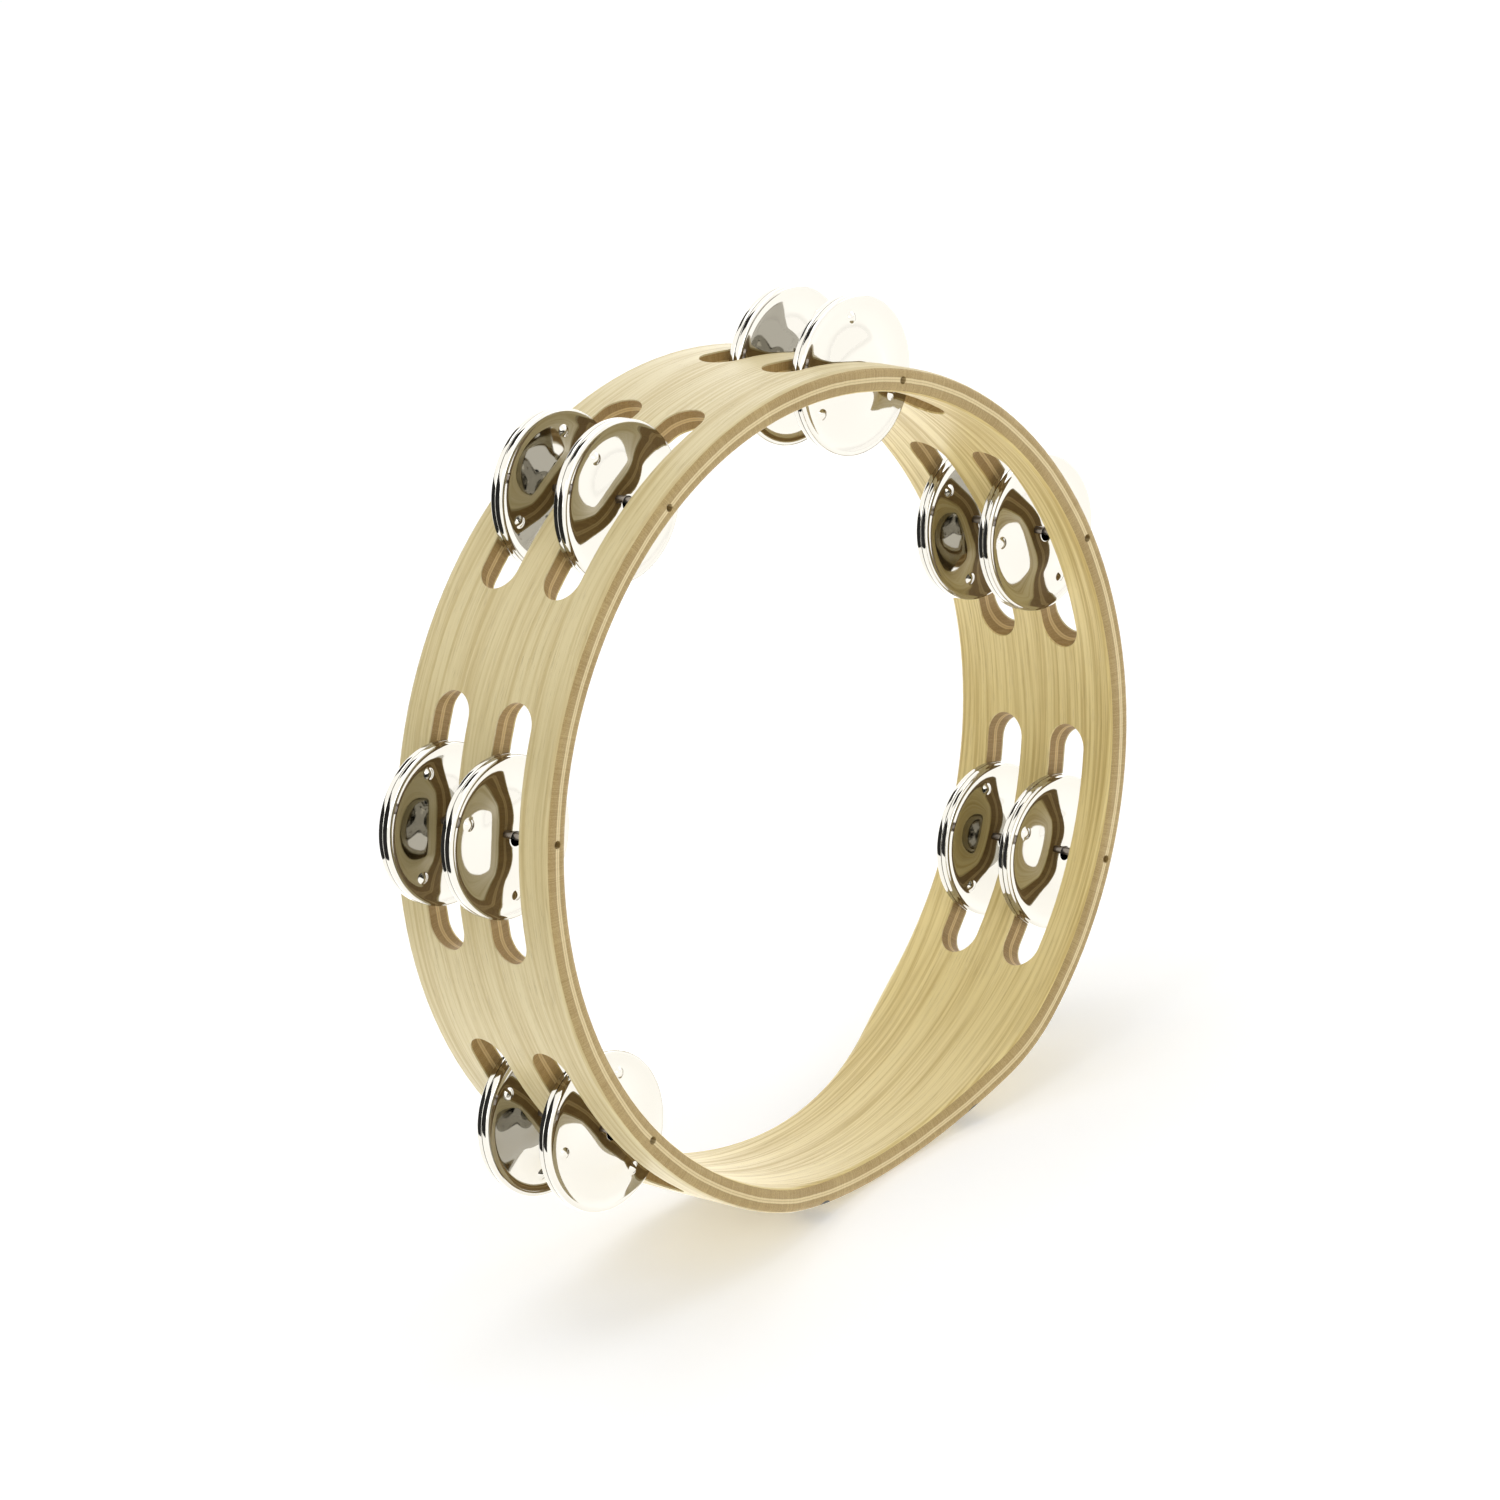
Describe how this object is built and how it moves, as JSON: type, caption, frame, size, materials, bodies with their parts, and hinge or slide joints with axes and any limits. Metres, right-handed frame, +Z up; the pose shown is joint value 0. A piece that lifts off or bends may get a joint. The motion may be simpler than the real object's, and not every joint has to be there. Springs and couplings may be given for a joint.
{
  "type": "tambourine",
  "caption": "Headless hand tambourine: laminated wooden hoop with a narrowed grip and paired steel jingles that slide on pins in two rows of slots.",
  "frame": {"origin": "lowest point of the grip, midway between the two rims", "axes": "the hoop stands upright with its axis along Y, the front rim towards -Y, +Z up; the grip is straight down and the object is symmetric left to right"},
  "size_m": [0.285, 0.063, 0.2623],
  "materials": {
    "face_veneer": "pale straight-grained face veneer, satin clear lacquer",
    "core_ply": "tan core ply, end grain at the rims, satin clear lacquer",
    "glue_veneer": "pale inner veneer, seen as two light lines on the rims",
    "jingle": "bright nickel-plated pressed steel",
    "pin": "plain steel wire, slightly dull",
    "inlay": "matt black rubber"
  },
  "bodies": {
    "hoop": {"outer_face_veneer": "face_veneer", "outer_core_ply": "core_ply", "outer_glue_veneer": "glue_veneer", "inner_glue_veneer": "glue_veneer", "inner_core_ply": "core_ply", "inner_face_veneer": "face_veneer", "grip_inlays": "inlay", "pin_1": "pin", "pin_2": "pin", "pin_3": "pin", "pin_4": "pin", "pin_5": "pin", "pin_6": "pin"},
    "jingle_1_front_a": {"jingle_1_front_a": "jingle"},
    "jingle_1_front_b": {"jingle_1_front_b": "jingle"},
    "jingle_1_back_a": {"jingle_1_back_a": "jingle"},
    "jingle_1_back_b": {"jingle_1_back_b": "jingle"},
    "jingle_2_front_a": {"jingle_2_front_a": "jingle"},
    "jingle_2_front_b": {"jingle_2_front_b": "jingle"},
    "jingle_2_back_a": {"jingle_2_back_a": "jingle"},
    "jingle_2_back_b": {"jingle_2_back_b": "jingle"},
    "jingle_3_front_a": {"jingle_3_front_a": "jingle"},
    "jingle_3_front_b": {"jingle_3_front_b": "jingle"},
    "jingle_3_back_a": {"jingle_3_back_a": "jingle"},
    "jingle_3_back_b": {"jingle_3_back_b": "jingle"},
    "jingle_4_front_a": {"jingle_4_front_a": "jingle"},
    "jingle_4_front_b": {"jingle_4_front_b": "jingle"},
    "jingle_4_back_a": {"jingle_4_back_a": "jingle"},
    "jingle_4_back_b": {"jingle_4_back_b": "jingle"},
    "jingle_5_front_a": {"jingle_5_front_a": "jingle"},
    "jingle_5_front_b": {"jingle_5_front_b": "jingle"},
    "jingle_5_back_a": {"jingle_5_back_a": "jingle"},
    "jingle_5_back_b": {"jingle_5_back_b": "jingle"},
    "jingle_6_front_a": {"jingle_6_front_a": "jingle"},
    "jingle_6_front_b": {"jingle_6_front_b": "jingle"},
    "jingle_6_back_a": {"jingle_6_back_a": "jingle"},
    "jingle_6_back_b": {"jingle_6_back_b": "jingle"}
  },
  "joints": [
    {"name": "slide_1_front_a", "type": "slide", "parent": "jingle_1_front_b", "child": "jingle_1_front_a", "axis": [0, -1, 0], "range_m": [0, 0.0024]},
    {"name": "slide_1_front_b", "type": "slide", "parent": "hoop", "child": "jingle_1_front_b", "axis": [0, -1, 0], "range_m": [0, 0.0024]},
    {"name": "slide_1_back_a", "type": "slide", "parent": "jingle_1_back_b", "child": "jingle_1_back_a", "axis": [0, -1, 0], "range_m": [0, 0.0024]},
    {"name": "slide_1_back_b", "type": "slide", "parent": "hoop", "child": "jingle_1_back_b", "axis": [0, -1, 0], "range_m": [0, 0.0024]},
    {"name": "slide_2_front_a", "type": "slide", "parent": "jingle_2_front_b", "child": "jingle_2_front_a", "axis": [0, -1, 0], "range_m": [0, 0.0024]},
    {"name": "slide_2_front_b", "type": "slide", "parent": "hoop", "child": "jingle_2_front_b", "axis": [0, -1, 0], "range_m": [0, 0.0024]},
    {"name": "slide_2_back_a", "type": "slide", "parent": "jingle_2_back_b", "child": "jingle_2_back_a", "axis": [0, -1, 0], "range_m": [0, 0.0024]},
    {"name": "slide_2_back_b", "type": "slide", "parent": "hoop", "child": "jingle_2_back_b", "axis": [0, -1, 0], "range_m": [0, 0.0024]},
    {"name": "slide_3_front_a", "type": "slide", "parent": "jingle_3_front_b", "child": "jingle_3_front_a", "axis": [0, -1, 0], "range_m": [0, 0.0024]},
    {"name": "slide_3_front_b", "type": "slide", "parent": "hoop", "child": "jingle_3_front_b", "axis": [0, -1, 0], "range_m": [0, 0.0024]},
    {"name": "slide_3_back_a", "type": "slide", "parent": "jingle_3_back_b", "child": "jingle_3_back_a", "axis": [0, -1, 0], "range_m": [0, 0.0024]},
    {"name": "slide_3_back_b", "type": "slide", "parent": "hoop", "child": "jingle_3_back_b", "axis": [0, -1, 0], "range_m": [0, 0.0024]},
    {"name": "slide_4_front_a", "type": "slide", "parent": "jingle_4_front_b", "child": "jingle_4_front_a", "axis": [0, -1, 0], "range_m": [0, 0.0024]},
    {"name": "slide_4_front_b", "type": "slide", "parent": "hoop", "child": "jingle_4_front_b", "axis": [0, -1, 0], "range_m": [0, 0.0024]},
    {"name": "slide_4_back_a", "type": "slide", "parent": "jingle_4_back_b", "child": "jingle_4_back_a", "axis": [0, -1, 0], "range_m": [0, 0.0024]},
    {"name": "slide_4_back_b", "type": "slide", "parent": "hoop", "child": "jingle_4_back_b", "axis": [0, -1, 0], "range_m": [0, 0.0024]},
    {"name": "slide_5_front_a", "type": "slide", "parent": "jingle_5_front_b", "child": "jingle_5_front_a", "axis": [0, -1, 0], "range_m": [0, 0.0024]},
    {"name": "slide_5_front_b", "type": "slide", "parent": "hoop", "child": "jingle_5_front_b", "axis": [0, -1, 0], "range_m": [0, 0.0024]},
    {"name": "slide_5_back_a", "type": "slide", "parent": "jingle_5_back_b", "child": "jingle_5_back_a", "axis": [0, -1, 0], "range_m": [0, 0.0024]},
    {"name": "slide_5_back_b", "type": "slide", "parent": "hoop", "child": "jingle_5_back_b", "axis": [0, -1, 0], "range_m": [0, 0.0024]},
    {"name": "slide_6_front_a", "type": "slide", "parent": "jingle_6_front_b", "child": "jingle_6_front_a", "axis": [0, -1, 0], "range_m": [0, 0.0024]},
    {"name": "slide_6_front_b", "type": "slide", "parent": "hoop", "child": "jingle_6_front_b", "axis": [0, -1, 0], "range_m": [0, 0.0024]},
    {"name": "slide_6_back_a", "type": "slide", "parent": "jingle_6_back_b", "child": "jingle_6_back_a", "axis": [0, -1, 0], "range_m": [0, 0.0024]},
    {"name": "slide_6_back_b", "type": "slide", "parent": "hoop", "child": "jingle_6_back_b", "axis": [0, -1, 0], "range_m": [0, 0.0024]}
  ]
}
